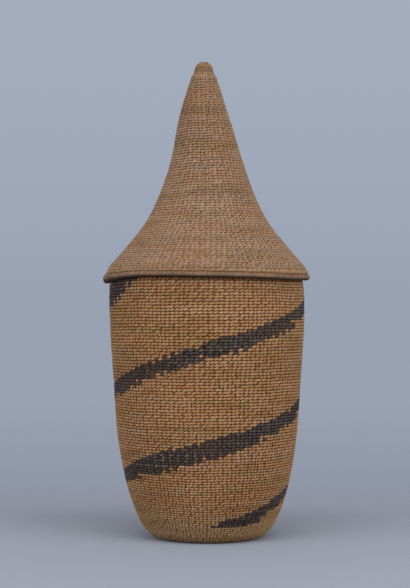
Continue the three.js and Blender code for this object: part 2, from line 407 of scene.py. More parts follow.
def skinAlong(radii, heights, shadeAndSoil, shift=straight, warp=straight, overrun=2.5 * mm):
    ends = []
    for here, inner in ((0, 1), (-1, -2)):  # straight on past both ends, into the rolls and knots
        along = np.array([radii[here] - radii[inner], heights[here] - heights[inner]])
        ends.append(along / np.hypot(*along) * overrun)
    radii = np.concatenate([[radii[0] + ends[0][0]], radii, [radii[-1] + ends[1][0]]])
    heights = np.concatenate([[heights[0] + ends[0][1]], heights, [heights[-1] + ends[1][1]]])
    distance = np.concatenate([[0], np.cumsum(np.hypot(np.diff(radii), np.diff(heights)))]) - overrun
    return {
        "distance": distance,
        "radius": radii,
        "height": heights,
        "alongRadius": np.gradient(radii, distance),
        "alongHeight": np.gradient(heights, distance),
        "length": distance[-1] - overrun,
        "shadeAndSoil": shadeAndSoil,  # places along the skin, and how much painted shade and soil darken it there
        "shift": shift,
        "warp": warp,
    }


def onSkin(skin, distance, outward, angle):
    radius, height, alongRadius, alongHeight = (
        np.interp(distance, skin["distance"], skin[key])
        for key in ("radius", "height", "alongRadius", "alongHeight"))
    size = np.hypot(alongRadius, alongHeight)
    radius = radius + outward * alongHeight / size
    height = height - outward * alongRadius / size
    return roundAxis(radius, angle, height + skin["warp"](height, angle), skin["shift"](height))


wall = {
    "footRadius": 29.4 * mm,
    "radius": 58.8 * mm,
    "shoulderHeight": 134 * mm,
    "neckDrawIn": 0.9 * mm,
    "neckCurve": 4,
    "top": 155.7 * mm,
    "fullness": 0.48,  # 0.5 is an ellipse
    "waistDip": 1.1 * mm,
    "waistHeight": 92 * mm,
    "waistSpread": 26 * mm,
    "outlineSteps": 500,
    "leanHeights": [0, 15 * mm, 40 * mm, 66 * mm, 130 * mm, 156 * mm],
    "lean": [0.4 * mm, 0.6 * mm, 0.4 * mm, 0, -0.1 * mm, -0.4 * mm],
    "warpShare": 0.55,
    "warpFade": 22 * mm,
    # painted shadow under the mouth roll and the lid's rim, over the top of the wall
    "shadeAndSoil": ([0, 160.5 * mm, 162 * mm, 163.5 * mm], [0, 0, 0.35, 0.95]),
    "rowsFrom": 2.6 * mm,
    "rowsPast": 0.8 * mm,  # beyond the skin's end
    "rowHeight": [1.38 * mm, 1.7 * mm, 1.82 * mm],  # at the foot, two fifths up and at the mouth
    "stakeCounts": [130],
    "leastSpacing": [0, 0],
    "stakesFrom": 2.2 * mm,
    "edgeShade": 0.6,  # how much painted shade darkens the upper and lower edges of its weft
    "stitchAside": 0.17,  # how far stitches sit beside their stake, as a share of the stakes' spacing
    "seed": 11,
    "pieces": 6,
    "turnRows": 1,  # rows of stitches that belong to the turn at the foot
}


def wallLean(height):
    return eased(height, wall["leanHeights"], wall["lean"])


def mouthWarp(height, angle):  # the mouth is uneven too, and the lid has settled on it
    share = wall["warpShare"] * smoothstep(height, wall["top"] - wall["warpFade"], wall["top"])
    return share * rimWarp(lid["rimHeight"], angle)


def wallSkin():
    foot, shoulder, top = wall["footRadius"], wall["shoulderHeight"], wall["top"]
    height = top * np.linspace(0, 1, wall["outlineSteps"]) ** 2
    below = np.clip((shoulder - height) / shoulder, 0, 1)
    dip = wall["waistDip"] * np.exp(-(((height - wall["waistHeight"]) / wall["waistSpread"]) ** 2))
    radius = foot + (wall["radius"] - foot) * (1 - below ** 2) ** wall["fullness"] - dip
    above = (height - shoulder) / (top - shoulder)
    radius = np.where(above > 0, wall["radius"] - wall["neckDrawIn"] * above ** wall["neckCurve"], radius)
    return skinAlong(radius, height, wall["shadeAndSoil"], wallLean, mouthWarp)


floor = {
    "innerRadius": 4.9 * mm,
    "outerRadius": 26.1 * mm,
    "outlineSteps": 60,
    "lift": 0.5 * mm,
    "rise": 1.3 * mm,
    "shadeAndSoil": ([0, 1], [0.3, 0.3]),
    "rowsFrom": -0.3 * mm,
    "rowsPast": -0.4 * mm,
    "rowHeight": [1.75 * mm] * 3,
    "stakeCounts": [12, 18, 24, 32, 40, 48, 56, 64],
    "leastSpacing": [2.5 * mm, 2.5 * mm],
    "edgeShade": 0.7,
    "stitchAside": 0.12,
    "seed": 12,
}


def floorSkin():
    radius = np.linspace(floor["innerRadius"], floor["outerRadius"], floor["outlineSteps"])
    height = floor["lift"] + floor["rise"] * (1 - (radius / floor["outerRadius"]) ** 2)
    return skinAlong(radius, height, floor["shadeAndSoil"])


lid = {
    "rimRadius": 60.25 * mm,  # middle of the rim roll
    "rimHeight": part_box("lid_hoop")[0].z / 2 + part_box("lid_hoop")[1].z / 2,
    "rollRadius": 1.85 * mm,
    "gap": 0.3 * mm,
    "wallOffset": 0.9 * mm,
    "thickness": 2.4 * mm,
    "flare": math.radians(54),
    "height": 119.1 * mm,
    "topRadius": 8 * mm,
    "shape": [
        (0.03, 0.955), (0.125, 0.772), (0.25, 0.556), (0.375, 0.415), (0.5, 0.314),
        (0.62, 0.236), (0.75, 0.168), (0.875, 0.088), (1, 0),
    ],
    "curveSteps": 24,  # between two points of its shape
    "leanWidth": 1.9 * mm,
    "leanStart": 60 * mm,
    "leanEnd": 104 * mm,
    "warpAngles": [-170, -120, -86, -61, -51, -39, -20, 0, 21, 37, 52, 73, 86, 130],  # degrees from the front
    "warp": [-0.4, -0.7, -1.85, -0.85, -0.2, 0.25, 0, -0.4, -0.75, -1.15, -1.6, -1.4, -0.8, -0.5],  # in mm
    "warpSteady": 0.5 * mm,  # the rim's rise and fall is whole up to here above it
    "warpFade": 5.5 * mm,  # and gone here
    # painted shade in the groove by the rim roll; darker towards the tip
    "shadeAndSoil": ([0.3 * mm, 1.5 * mm, 125 * mm, 140 * mm], [0.12, 0, 0, 0.25]),
    "groove": 1.25 * mm,  # between the rim roll and the first row, where the stakes show
    "rowsFrom": 0.1 * mm,
    "rowsPast": -0.2 * mm,
    "rowHeight": [1.82 * mm, 1.73 * mm, 1.62 * mm],  # at the rim, two fifths up and at the tip
    "stakeCounts": [14, 18, 24, 30, 36, 42, 50, 60, 70, 84, 96, 108, 120],
    "leastSpacing": [3.1 * mm, 2.45 * mm],
    "edgeShade": 0.5,
    "stitchAside": 0.12,
    "seed": 13,
    "pieces": 3,
}


def lidLean(height):
    above = height - lid["rimHeight"]
    return -lid["leanWidth"] * smoothstep(above, lid["leanStart"], lid["leanEnd"])


def rimWarp(height, angle):
    above = height - lid["rimHeight"]
    whole = np.interp(np.degrees(angle), lid["warpAngles"], lid["warp"], period=360) * mm
    return whole * smoothstep(lid["warpFade"] - above, 0, lid["warpFade"] - lid["warpSteady"])


def lidSkin():
    flare = lid["flare"]
    reach = lid["rollRadius"] + lid["gap"]
    out = lid["wallOffset"] + lid["thickness"] / 2
    footRadius = lid["rimRadius"] - reach * math.cos(flare) + out * math.sin(flare)
    footHeight = reach * math.sin(flare) + out * math.cos(flare)
    points = [(footRadius, footHeight)]
    for heightShare, widthShare in lid["shape"]:
        radius = lid["topRadius"] + (footRadius - lid["topRadius"]) * widthShare
        points.append((radius, footHeight + (lid["height"] - footHeight) * heightShare))
    points = np.array(points)
    padded = np.vstack([2 * points[0] - points[1], points, 2 * points[-1] - points[-2]])
    curve = []
    for i in range(len(points) - 1):  # a Catmull-Rom spline through the points
        a, b, c, d = padded[i:i + 4]
        for t in np.linspace(0, 1, lid["curveSteps"], endpoint=False):
            curve.append(0.5 * (2 * b + (c - a) * t + (2 * a - 5 * b + 4 * c - d) * t ** 2
                                + (3 * b - a - 3 * c + d) * t ** 3))
    curve.append(points[-1])
    curve = np.array(curve)
    return skinAlong(curve[:, 0], curve[:, 1] + lid["rimHeight"], lid["shadeAndSoil"], lidLean, rimWarp)


skins = {"wall": wallSkin(), "floor": floorSkin(), "lid": lidSkin()}


# One repeat of a weft strand, seen from the front: over a stake, back between two, behind the next and out
stitch = {
    "sides": 6,
    "steps": 4,  # from one stake to the next
    "spacing": 3 * mm,
    "rowHeight": 1.7 * mm,
    "swing": 0.56 * mm,  # in and out of the wall's middle
    "dwell": 0.62,  # below 1, it stays out longer and dips in quickly
    "climb": 0.21 * mm,  # it slants up to the right across a stake
    "faceHalf": 0.92 * mm,  # half its height over a stake
    "edgeHalf": 0.6 * mm,  # and where it turns on edge between two
    "depthHalf": 0.62 * mm,
    "sortMargin": 0.1,  # radians before a ring's first corner, so that rounding can't put it last
}


def modelStitch():
    sides, steps = stitch["sides"], stitch["steps"]

    def ringAt(step):
        phase = math.pi * step / steps
        face = abs(math.cos(phase))
        swing = math.copysign(face ** stitch["dwell"], math.cos(phase)) * stitch["swing"]
        centre = Vector((stitch["spacing"] * step / steps, -swing, stitch["climb"] * math.sin(phase)))
        return centre, stitch["edgeHalf"] + (stitch["faceHalf"] - stitch["edgeHalf"]) * face

    piece = addCircle("stitch master", sides, 1)
    editMode(True)
    centre, half = ringAt(0)
    bpy.ops.transform.resize(value=(1, stitch["depthHalf"], half), center_override=(0, 0, 0))
    bpy.ops.transform.translate(value=centre)
    for step in range(1, 2 * steps + 1):
        following, newHalf = ringAt(step)
        extrudeBy(following - centre, (1, 1, newHalf / half), following)
        centre, half = following, newHalf
    editMode(False)
    co = coordinates(piece.data)
    order = np.argsort(np.round(co[:, 0] / (stitch["spacing"] / steps)), kind="stable")
    rings = co[order].reshape(2 * steps + 1, sides, 3)
    shape = []
    for step, ring in enumerate(rings[:-1]):
        centre, half = ringAt(step)
        turn = np.arctan2((ring[:, 2] - centre.z) / half, (ring[:, 1] - centre.y) / stitch["depthHalf"])
        shape.append(ring[np.argsort((turn + stitch["sortMargin"]) % fullTurn)])
    bpy.data.objects.remove(piece)
    shape = np.array(shape)
    return np.stack([shape[..., 2], -shape[..., 1]], -1)  # up along the skin, and outward


stitchRings = modelStitch()
print("stitch modelled")


# Slow waves of the rows and of the wall, as in anything woven by hand
handmade = {
    "rowWave": 0.42 * mm,
    "wallWave": 0.3 * mm,
    "wavesRound": (1, 2, 3, 5, 8, 13),
    "wavesUp": (8, 60),
    "wander": (0.5, 2.5),
    "wanderUp": 25,
    "waveShare": (0.4, 1),
    "waveStart": (0, 6),
    "waveTotal": 1.9,
    "stakeDrift": 1.1 * mm,
    "drifts": [(1, 3, 40, 0), (0.6, 7, -65, 2), (0.4, 12, 90, 4)],  # share, waves round, waves up and start
    "driftTotal": 2,
    "fade": 9 * mm,  # the waves die out this close to a rim
    "stitchHeight": 0.07,  # spread of the stitches' sizes, as a share
    "stitchShift": 0.05 * mm,  # up and down
    "stitchOut": 0.7,  # in and out, as a share of that
    "stitchTone": 0.085,
    "lengthRange": (26, 90),  # stitches in a length of weft
    "lengthsDrawn": (20, 4),  # one for so many stitches, and some spare
    "toneSpread": 5,  # higher is more even
    "streakStart": (0, 50),
}


def slowWave(rng, size, angle, distance, length):
    total = np.zeros_like(angle)
    for turns in handmade["wavesRound"]:
        perLength = rng.uniform(*handmade["wavesUp"])
        wander = rng.uniform(*handmade["wander"]) * np.sin(handmade["wanderUp"] * distance + turns)
        share = rng.uniform(*handmade["waveShare"]) / math.sqrt(turns)
        start = rng.uniform(*handmade["waveStart"])
        total += share * np.sin(turns * angle + perLength * distance + wander + start)
    fade = smoothstep(distance, 0, handmade["fade"]) * smoothstep(length - distance, 0, handmade["fade"])
    return size * total / handmade["waveTotal"] * fade


def drifted(skin, angle, distance):  # the stakes don't run quite straight up
    lean = sum(share * np.sin(turns * angle + perLength * distance + start)
               for share, turns, perLength, start in handmade["drifts"]) / handmade["driftTotal"]
    fade = smoothstep(distance, 0, handmade["fade"])
    radius = np.interp(distance, skin["distance"], skin["radius"])
    return angle + handmade["stakeDrift"] * lean * fade / radius


# Full turns of a spiral of rows, each with its stakes and where it starts and ends along the skin.
# The first and last don't climb, so that the fabric ends straight at a rim.
rowPlaces = [0, 0.4, 1]  # shares of a skin's length, for the row heights in its table
spacingPlaces = [0, 0.45]


def rowTurns(skin, form):
    turns = []
    counts = form["stakeCounts"]
    distance = form["rowsFrom"]
    while distance < skin["length"] + form["rowsPast"]:
        share = np.clip(distance / skin["length"], 0, 1)
        radius = np.interp(distance, skin["distance"], skin["radius"])
        spacing = np.interp(share, spacingPlaces, form["leastSpacing"])
        fitting = [count for count in counts if fullTurn * radius / count >= spacing] or counts[:1]
        height = np.interp(share, rowPlaces, form["rowHeight"])
        turns.append({"stakes": fitting[-1], "from": distance, "to": distance + height, "height": height})
        distance += height
    first = turns[0] | {"to": turns[0]["from"]}
    last = turns[-1] | {"from": turns[-1]["to"]}
    return [first] + turns + [last]


# All rings of both strands along the spiral
def twine(skin, form):
    rng = np.random.default_rng(form["seed"])
    steps = stitch["steps"]
    turns = rowTurns(skin, form)
    rings = []
    counted = 0
    for row, turn in enumerate(turns):
        stakes = turn["stakes"]
        column = np.arange(stakes * steps + (turn is turns[-1])) / steps
        climbed = turn["from"] + (turn["to"] - turn["from"]) * column / stakes
        steady = [np.full(len(column), value) for value in (turn["height"], row, fullTurn / stakes)]
        rings.append([fullTurn * column / stakes, climbed, counted + column] + steady)
        counted += stakes
    angle, distance, column, rowHeight, row, stakeAngle = (np.concatenate(parts) for parts in zip(*rings))
    along = distance + slowWave(rng, handmade["rowWave"], angle, distance, skin["length"])
    bulge = slowWave(rng, handmade["wallWave"], angle, distance, skin["length"])
    reach = stitch["swing"] + stitch["depthHalf"]
    around = drifted(skin, angle, distance)
    whole = np.floor(column).astype(int)
    part = smoothstep(column - whole, 0, 1)

    def perStitch(spread):
        values = rng.normal(0, spread, counted + 2)
        return values[whole] * (1 - part) + values[whole + 1] * part

    strands = []
    for strand in (0, 1):
        ringPhase = (np.round(column * steps).astype(int) - strand * steps) % (2 * steps)
        shape = stitchRings[ringPhase]
        size = 1 + perStitch(handmade["stitchHeight"])
        up = shape[..., 0] * (size * rowHeight / stitch["rowHeight"])[:, None]
        up = up + perStitch(handmade["stitchShift"])[:, None]
        out = bulge + perStitch(handmade["stitchShift"] * handmade["stitchOut"]) - reach
        aside = around + perStitch(form["stitchAside"]) * stakeAngle
        place = onSkin(skin, along[:, None] + up, shape[..., 1] + out[:, None], aside[:, None])
        perLength, spare = handmade["lengthsDrawn"]
        lengths = rng.integers(*handmade["lengthRange"], counted // perLength + spare)
        length = np.searchsorted(np.cumsum(lengths), column)
        spread = handmade["toneSpread"]
        tone = rng.beta(spread, spread, len(lengths) + 1)[length] + perStitch(handmade["stitchTone"])
        ridge = shape[..., 0] - shape[..., 0].mean(-1, keepdims=True)  # how far from the strand's middle
        # crest: 1 on a stitch's face, lower in its dips and towards its upper and lower edges, where the
        # material paints shade
        depth = np.abs(shape[..., 1]) / reach
        strands.append({
            "place": place,
            "tone": np.clip(tone, 0, 1)[:, None],
            "crest": depth * (1 - form["edgeShade"] * np.abs(ridge) / stitch["faceHalf"]),
            "shadeAndSoil": np.interp(distance, *skin["shadeAndSoil"])[:, None],
            "start": rng.uniform(*handmade["streakStart"], len(lengths) + 1)[length],
        })
    return {"turns": turns, "column": column, "distance": distance, "row": row, "strands": strands}


# A mesh of chosen stretches of both strands: chosen[strand] says of each step whether it is in the piece
strandMaps = {
    "streakScale": 0.3,  # along the strand
    "tilesAcross": 256,  # in the map for baking, one tile to a step
    "capRadius": 0.4,
    "capHeight": 0.5,
}


def uvPairs(u, v):
    return np.stack(np.broadcast_arrays(u, v), -1).reshape(-1, 2)


def strandPiece(name, woven, chosen):
    sides = stitch["sides"]
    across = strandMaps["tilesAcross"]
    around = np.arange(sides)
    nextAround = (around + 1) % sides
    stretches = []
    points = 0
    for strand, mask in zip(woven["strands"], chosen):
        steps = np.flatnonzero(mask)
        rings = np.union1d(steps, steps + 1)
        stretches.append((strand, steps, rings, points))
        points += len(rings) * sides
    strips = math.ceil(sum(len(steps) for _, steps, _, _ in stretches) / across) + 1
    turn = fullTurn * around / sides
    capUv = 0.5 + strandMaps["capRadius"] * np.stack([np.cos(turn), np.sin(turn)], -1)
    walls, caps = [], []  # faces, with their corners on both maps
    counted = 0
    for strand, steps, rings, base in stretches:
        first, second = (base + np.searchsorted(rings, steps + end)[:, None] * sides for end in (0, 1))
        quads = np.stack([first + around, first + nextAround, second + nextAround, second + around], -1)
        low, high = (woven["column"][steps + end] + strand["start"][steps] for end in (0, 1))
        u = np.stack([low, low, high, high], -1)[:, None, :] * strandMaps["streakScale"]
        v = np.stack([around, around + 1, around + 1, around], -1)[None] / sides
        spot = counted + np.arange(len(steps))
        left = (spot % across) / across
        right = left + 1 / across
        tileU = np.stack([left, left, right, right], -1)[:, None, :]
        tileV = ((spot // across) / strips)[:, None, None] + v / strips
        walls.append((quads, uvPairs(u, v), uvPairs(tileU, tileV)))
        counted += len(steps)
        for follows, order in ((rings - 1, around[::-1]), (rings, around)):
            ends = base + np.flatnonzero(~np.isin(follows, steps))[:, None] * sides + order
            spot = np.arange(len(ends))[:, None] % across
            tileV = 1 - (1 - capUv[:, 1] * strandMaps["capHeight"]) / strips
            tileU = (spot + capUv[:, 0]) / across
            caps.append((ends, np.tile(capUv, (len(ends), 1)), uvPairs(tileU, tileV)))
    faces, strandUv, bakeUv = zip(*walls, *caps)
    corner = np.concatenate([part.ravel() for part in faces])
    totals = np.concatenate([np.full(part.size // part.shape[-1], part.shape[-1]) for part in faces])
    mesh = bpy.data.meshes.new(name)
    mesh.vertices.add(points)
    setCoordinates(mesh, np.concatenate([strand["place"][rings] for strand, _, rings, _ in stretches]))
    mesh.loops.add(len(corner))
    mesh.loops.foreach_set("vertex_index", corner.astype(np.int32))
    mesh.polygons.add(len(totals))
    mesh.polygons.foreach_set("loop_start", (np.cumsum(totals) - totals).astype(np.int32))
    mesh.update(calc_edges=True)
    setUv(mesh, "strand", np.concatenate(strandUv))
    setUv(mesh, "OFBake", np.concatenate(bakeUv))
    for key in ("tone", "crest", "shadeAndSoil"):
        setPointValues(mesh, key, np.concatenate([
            np.broadcast_to(strand[key][rings], (len(rings), sides)) for strand, _, rings, _ in stretches]))
    mesh.validate()
    piece = bpy.data.objects.new(name, mesh)
    bpy.context.scene.collection.objects.link(piece)
    return piece


def wholePiece(name, woven):
    every = np.ones(len(woven["column"]) - 1, bool)
    return strandPiece(name, woven, [every, every])


# The dark spirals, by their middle line up along the wall against turns round it from the front
spirals = {
    "firstRow": 16.6 * mm,
    "topMargin": 0.2 * mm,
    "bands": {
        "front": {
            "seed": 21,
            "turns": [0, 0.052, 0.1, 0.135, 0.165, 0.212, 0.5, 0.778, 0.89, 0.98, 1.077, 1.169, 1.4],
            "up": [12.8, 17.3, 21.3, 26, 30, 34, 66, 96, 107.9, 117.8, 128.2, 139.4, 166],
            "width": [9.2] * 8 + [9.6] + [10] * 4,
        },
        "back": {
            "seed": 22,
            "turns": [-0.5, -0.222, -0.159, -0.1, -0.022, 0.03, 0.084, 0.154, 0.5, 0.76,
                      0.79, 0.835, 0.848, 0.862, 0.95],
            "up": [11.5, 44, 49.3, 54.6, 61.2, 66, 71.7, 79.2, 118, 148.2, 154.6, 159.6, 163, 167.1, 193],
            "width": [9, 8.4, 9.6, 12, 12.4, 11.6, 10.8, 10.2, 9.6, 9.6] + [16] * 5,
        },
    },
    "beyond": 9000,  # mm, well past either end of a band
    "raggedness": [[0.6], [0.3]],  # of the dark runs' ends at the lower and upper edge, in stitches
    "strandShift": [0.8, 0.5],  # by which one strand's run is shorter there than the other's, to each side
    "strandRaggedness": 0.3,
    "dashes": 0.07,  # share of the rows that stay plain longer at the lower edge
    "dashLength": [1.5, 5],
}


def darkRuns(woven, band):
    rng = np.random.default_rng(band["seed"])
    column = woven["column"]
    stakes = woven["turns"][0]["stakes"]
    middle = np.floor((column[:-1] + column[1:]) / 2 + 0.5)  # the stitch that each step belongs to
    row = (middle / stakes).astype(int)
    distance = np.interp(middle, column, woven["distance"])
    rows = row.max() + 2
    shared = rng.normal(0, 1, (2, rows)) * spirals["raggedness"]
    shared[0] += (rng.random(rows) < spirals["dashes"]) * rng.uniform(*spirals["dashLength"], rows)
    beyond = spirals["beyond"]
    runs = []
    for side in (-1, 1):
        short = side * np.array(spirals["strandShift"])[:, None]
        shifts = np.round(shared + short + rng.normal(0, spirals["strandRaggedness"], (2, rows)))

        def edge(shift, turn, way):  # the band's edge, a half width that way from its middle line
            turns = (middle % stakes + shift[row]) / stakes + turn
            up = np.interp(turns, band["turns"], band["up"], left=-beyond)
            up = np.where(turns < band["turns"][-1], up, beyond)
            return (up + way * np.interp(turns, band["turns"], band["width"]) / 2) * mm

        inBand = np.zeros(len(middle), bool)
        for turn in (-1, 0, 1):
            inBand |= (distance > edge(shifts[0], turn, -1)) & (distance < edge(shifts[1], turn, 1))
        inBand &= distance > spirals["firstRow"]
        inBand &= distance < skins["wall"]["length"] - spirals["topMargin"]
        runs.append(inBand)
    return runs


# Basket wall
def makeWall():
    woven = twine(skins["wall"], wall)
    plain = [True, True]
    for name, band in spirals["bands"].items():
        runs = darkRuns(woven, band)
        plain = [mask & ~run for mask, run in zip(plain, runs)]
        piece = strandPiece("dark_weft_" + name, woven, runs)
        finishPiece(piece, "basket", darkWeft, "dark_spiral_" + name)
    row = woven["row"][:-1]
    piece = strandPiece("turn_row_weft", woven, [mask & (row < wall["turnRows"]) for mask in plain])
    finishPiece(piece, "basket", plainWeft, "base_turn_row")
    edges = np.linspace(wall["turnRows"], len(woven["turns"]), wall["pieces"] + 1).astype(int)
    for i in range(wall["pieces"]):
        inside = (row >= edges[i]) & (row < edges[i + 1])
        piece = strandPiece(f"wall_weft_{i + 1}", woven, [mask & inside for mask in plain])
        finishPiece(piece, "basket", plainWeft, "wall_weave")
    print("wall woven,", len(woven["turns"]), "rows")


makeWall()


# Floor
def makeFloor():
    woven = twine(skins["floor"], floor)
    finishPiece(wholePiece("floor_weft", woven), "basket", plainWeft, "base_disc")
    print("floor woven")
    return woven["turns"]


floorTurns = makeFloor()


# Lid
def makeLid():
    woven = twine(skins["lid"], lid)
    share = np.arange(len(woven["column"]) - 1) / len(woven["column"])
    for i in range(lid["pieces"]):
        inside = (share >= i / lid["pieces"]) & (share < (i + 1) / lid["pieces"])
        piece = strandPiece(f"lid_weft_{i + 1}", woven, [inside, inside])
        finishPiece(piece, "lid", lidWeft, "lid_weave")
    print("lid woven,", len(woven["turns"]), "rows")
    return woven["turns"]


lidTurns = makeLid()


# Stakes: a ribbed shell in the middle of the weave, one rib to a stake
stakeShell = {
    "ribHalf": 0.25 * mm,
    "webHalf": 0.05 * mm,
    "thickness": 0.3 * mm,
    "ringSpacing": 3 * mm,
    "overlap": 0.6 * mm,
}


def ribbedShell(name, skin, turns):
    zones = []
    for turn in turns:  # rows with the same stakes share a stretch of shell
        if zones and zones[-1]["stakes"] == turn["stakes"]:
            zones[-1]["to"] = turn["to"]
        else:
            zones.append(dict(turn))
    middle = stitch["swing"] + stitch["depthHalf"]
    parts = []
    for zone in zones:
        stakes = zone["stakes"]
        start = zone["from"] - stakeShell["overlap"]
        end = zone["to"] + stakeShell["overlap"]
        rings = max(2, round((end - start) / stakeShell["ringSpacing"]) + 1)
        part = addCircle(name, 2 * stakes, 1, turn=(0, 0, 0))
        extrudeTimes(rings - 1, (0, 0, 1))
        co = coordinates(part.data)
        angle = np.arctan2(co[:, 0], -co[:, 1])
        half = np.round(angle / fullTurn * 2 * stakes).astype(int) % 2
        out = np.where(half == 0, stakeShell["ribHalf"], -stakeShell["webHalf"]) - middle
        distance = start + (end - start) * co[:, 2] / (rings - 1)
        setCoordinates(part.data, onSkin(skin, distance, out, drifted(skin, angle, distance)))
        parts.append(part)
    piece = joinAll(parts)
    faceOutward()
    solid = piece.modifiers.new("thickness", "SOLIDIFY")
    solid.thickness = stakeShell["thickness"]
    solid.offset = -1
    applyAll(piece)
    return piece


def makeStakes():
    wallTurn = {"stakes": wall["stakeCounts"][0], "from": wall["stakesFrom"], "to": skins["wall"]["length"]}
    grooveTurn = lidTurns[0] | {"from": lidTurns[0]["from"] - lid["groove"]}
    for name, body, turns, node in (
        ("wall", "basket", [wallTurn], "wall_weave"),
        ("floor", "basket", floorTurns, "base_disc"),
        ("lid", "lid", [grooveTurn] + lidTurns, "lid_weave"),
    ):
        finishPiece(ribbedShell(name + "_stakes", skins[name], turns), body, shadedStakeFibre, node)
    print("stakes made")


makeStakes()


# Rim rolls: a strip bound round and round the hoop
mouthRoll = {
    "shift": wallLean(wall["top"]),
    "warp": mouthWarp,
    "radius": 56.0 * mm,
    "height": 157.8 * mm,
    "half": 1.75 * mm,
    "hoop": 0.95 * mm,
    "wraps": 300,
    "slant": 0.35,
    "thickening": 0,
    # painted shade on the roll's underside, from how far below its middle to where it is darkest
    "shadeAndSoil": (0.4, 1.2),
    "seed": 31,
}
lidRoll = {
    "shift": 0,
    "warp": rimWarp,
    "radius": lid["rimRadius"],
    "height": lid["rimHeight"],
    "half": 1.7 * mm,
    "hoop": 0.9 * mm,
    "wraps": 330,
    "slant": 0.3,
    "thickening": 0.7,  # taller towards the left end
    "shadeAndSoil": (0, 0.55),  # painted shade on its underside: from how far below its middle, as a share, to where it is darkest
    "seed": 32,
}
strip = {
    "sides": 14,
    "profile": [(0, 0.86), (0.25, 1), (0.75, 1), (1, 0.86)],  # across one wrap: place and size
    "sizeSpread": 0.03,
    "slantSpread": 0.06,
    "thickTurn": 1.5 * math.pi,
    "thickSpread": 0.45,
    "thickOut": 0.25,
    "thickDepth": 0.3,
    "underShadeMost": 0.9,
    "jointWidth": 0.1,
    "jointSoil": (0.35, 1),
    "grainStep": 3.7,  # on its map, from one wrap to the next
    "weld": 0.05 * mm,
}


def onRoll(roll, turn, radius, up):
    height = roll["height"] + roll["warp"](roll["height"], turn) + up
    return roundAxis(radius, turn, height, roll["shift"])


def wrappedRoll(name, roll):
    wraps = roll["wraps"]
    width = fullTurn * roll["radius"] / wraps
    profile = strip["profile"]
    piece = addCircle(name, strip["sides"], roll["half"] * profile[0][1])
    editMode(True)
    for (place, size), (before, sizeBefore) in zip(profile[1:], profile):
        growth = size / sizeBefore
        extrudeBy((width * (place - before), 0, 0), (1, growth, growth), (width * place, 0, 0))
    editMode(False)
    repeat = piece.modifiers.new("wraps", "ARRAY")
    repeat.count = wraps
    repeat.relative_offset_displace = (1, 0, 0)
    repeat.use_merge_vertices = True
    repeat.merge_threshold = 0.01 * mm
    applyAll(piece)
    mesh = piece.data
    co = coordinates(mesh)  # bent round into a ring, each wrap a little different
    rng = np.random.default_rng(roll["seed"])
    onWrap = co[:, 0] / width
    wrap = np.minimum(onWrap, wraps - 1e-6).astype(int)
    size = (1 + rng.normal(0, strip["sizeSpread"], wraps))[wrap]
    lean = (roll["slant"] + rng.normal(0, strip["slantSpread"], wraps))[wrap]
    turn = co[:, 0] / roll["radius"] + lean * co[:, 2] / roll["radius"]
    thicker = roll["thickening"] * np.exp(-((turn - strip["thickTurn"]) / strip["thickSpread"]) ** 2)
    radius = roll["radius"] + roll["half"] * strip["thickOut"] * thicker
    radius = radius - co[:, 1] * (size + strip["thickDepth"] * thicker)
    setCoordinates(mesh, onRoll(roll, turn, radius, co[:, 2] * (size + thicker)))
    # painted shade on the underside of each wrap, with the dark joints between wraps
    shadeAndSoil = smoothstep(-co[:, 2] / roll["half"], *roll["shadeAndSoil"])
    joint = np.abs(onWrap - np.round(onWrap)) < strip["jointWidth"]
    joint = joint * rng.uniform(*strip["jointSoil"], wraps)[wrap]
    setPointValues(mesh, "shadeAndSoil", np.maximum(shadeAndSoil * strip["underShadeMost"], joint))
    loops = np.zeros(len(mesh.loops), np.int32)
    mesh.loops.foreach_get("vertex_index", loops)
    section = np.arctan2(co[:, 2], -co[:, 1]) / fullTurn * 2
    setUv(mesh, "strip", np.stack([section + wrap * strip["grainStep"], onWrap], -1)[loops])
    faceOutward(strip["weld"])
    return piece


# Hoops in the rolls: a split rod bent round, its thin ends lapping at the back, as uneven as its roll
hoop = {
    "sides": 10,
    "steps": 120,
    "turns": 1.02,
    "thinBy": 0.5,
    "thin": (0.485, 0.5),  # from the rod's middle, as a share of its length
    "beside": (0.46, 0.49),  # where its ends move apart
}


def hoopRod(name, roll):
    piece = addCircle(name, hoop["sides"], roll["hoop"], fill="NGON")
    extrudeTimes(hoop["steps"], (1, 0, 0))
    co = coordinates(piece.data)
    along = co[:, 0] / hoop["steps"]
    fromMiddle = np.abs(along - 0.5)
    thin = 1 - hoop["thinBy"] * smoothstep(fromMiddle, *hoop["thin"])
    side = (along - 0.5) * roll["hoop"] * smoothstep(fromMiddle, *hoop["beside"])
    turn = math.pi + fullTurn * along * hoop["turns"]
    setCoordinates(piece.data, onRoll(roll, turn, roll["radius"] - co[:, 1] * thin + side, co[:, 2] * thin))
    faceOutward()
    return piece


for body, rim, roll in (("basket", "mouth", mouthRoll), ("lid", "lid", lidRoll)):
    finishPiece(wrappedRoll(rim + "_wraps", roll), body, bindingStrip, rim + "_binding")
    finishPiece(hoopRod(rim + "_rod", roll), body, hoopWood, rim + "_hoop")
print("rims wrapped")


# Tip of the lid: a core, the weft that closes over it, a cord lashed round its foot, the stakes' ends below
tip = {
    "radius": 6.0 * mm,
    "headFoot": 122.3 * mm,
    "headTop": 128.95 * mm,
    "fullness": 0.68,  # below 1, it is flatter on top than an ellipse
    "crown": math.radians(76),  # up to where the weft stops, round the button at the very top
    "outlineSteps": 40,
    "overrun": 0.5 * mm,
    "shadeAndSoil": ([0, 2 * mm], [0.35, 0.1]),
    "rowsFrom": 0.1 * mm,
    "rowsPast": -0.3 * mm,
    "rowHeight": [1.5 * mm] * 3,
    "stakeCounts": [8, 12, 16, 20, 24, 28],
    "leastSpacing": [1.3 * mm, 1.3 * mm],
    "edgeShade": 0.7,
    "stitchAside": 0.12,
    "seed": 14,
}


